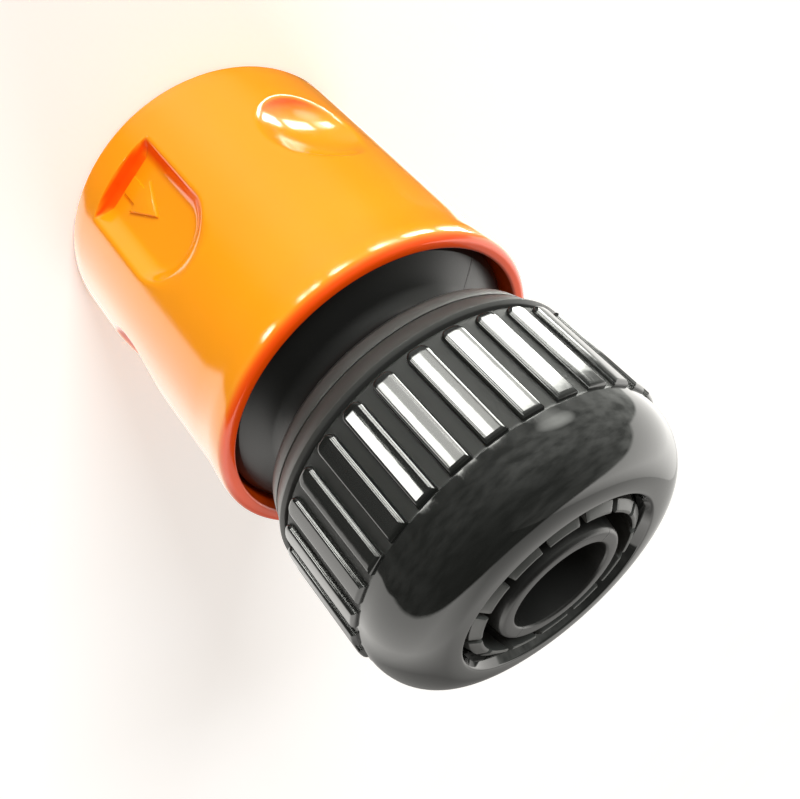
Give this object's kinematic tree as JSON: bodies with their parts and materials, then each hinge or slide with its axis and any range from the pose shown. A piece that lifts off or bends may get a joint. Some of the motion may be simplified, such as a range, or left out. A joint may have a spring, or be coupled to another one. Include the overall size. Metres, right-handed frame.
{
  "type": "hose connector",
  "caption": "Garden hose quick connector: barbed tail with grip fingers under a ribbed clamp nut, and a sprung sliding sleeve that frees the claws in its socket",
  "frame": {"origin": "centre of the socket's mouth, on the plane that the connector stands on", "axes": "+Z along the axis from the socket's mouth to the hose end; -Y is the side of an arrow recess"},
  "size_m": [0.035, 0.035, 0.0586],
  "materials": {
    "orange_plastic": "gloss",
    "nut_plastic": "gloss",
    "body_plastic": "satin",
    "grip_plastic": "satin",
    "claw_plastic": "satin",
    "spring_steel": "drawn"
  },
  "bodies": {
    "root": {"main_body": "body_plastic", "front_ring": "body_plastic", "return_spring": "spring_steel"},
    "sleeve": {"release_sleeve": "orange_plastic"},
    "claw_1": {"locking_claw_1": "claw_plastic"},
    "claw_2": {"locking_claw_2": "claw_plastic"},
    "claw_3": {"locking_claw_3": "claw_plastic"},
    "claw_4": {"locking_claw_4": "claw_plastic"},
    "grip": {"grip_ring": "grip_plastic"},
    "nut": {"clamp_nut": "nut_plastic"}
  },
  "joints": [
    {"name": "sleeve_slide", "type": "slide", "parent": "root", "child": "sleeve", "axis": [0, 0, 1], "range_m": [0, 0.0045], "stiffness_N_per_m": 800, "springref_m": -0.004, "deforming": ["return_spring"]},
    {"name": "claw_1_slide", "type": "slide", "parent": "root", "child": "claw_1", "axis": [0.7071, -0.7071, 0], "range_m": [0, 0.00096]},
    {"name": "claw_2_slide", "type": "slide", "parent": "root", "child": "claw_2", "axis": [0.7071, 0.7071, 0], "range_m": [0, 0.00096]},
    {"name": "claw_3_slide", "type": "slide", "parent": "root", "child": "claw_3", "axis": [-0.7071, 0.7071, 0], "range_m": [0, 0.00096]},
    {"name": "claw_4_slide", "type": "slide", "parent": "root", "child": "claw_4", "axis": [-0.7071, -0.7071, 0], "range_m": [0, 0.00096]},
    {"name": "grip_slide", "type": "slide", "parent": "root", "child": "grip", "axis": [0, 0, 1], "range_m": [0, 0.00375]},
    {"name": "nut_turn", "type": "hinge", "parent": "grip", "child": "nut", "pos_m": [0, 0, 0], "axis": [0, 0, 1], "range_deg": [0, 451]}
  ],
  "couplings": [
    {"joint": "claw_1_slide", "follows": "sleeve_slide", "ratio": 0.21111},
    {"joint": "claw_2_slide", "follows": "sleeve_slide", "ratio": 0.21111},
    {"joint": "claw_3_slide", "follows": "sleeve_slide", "ratio": 0.21111},
    {"joint": "claw_4_slide", "follows": "sleeve_slide", "ratio": 0.21111},
    {"joint": "nut_turn", "follows": "grip_slide", "rad_per_m": 2094.4}
  ]
}
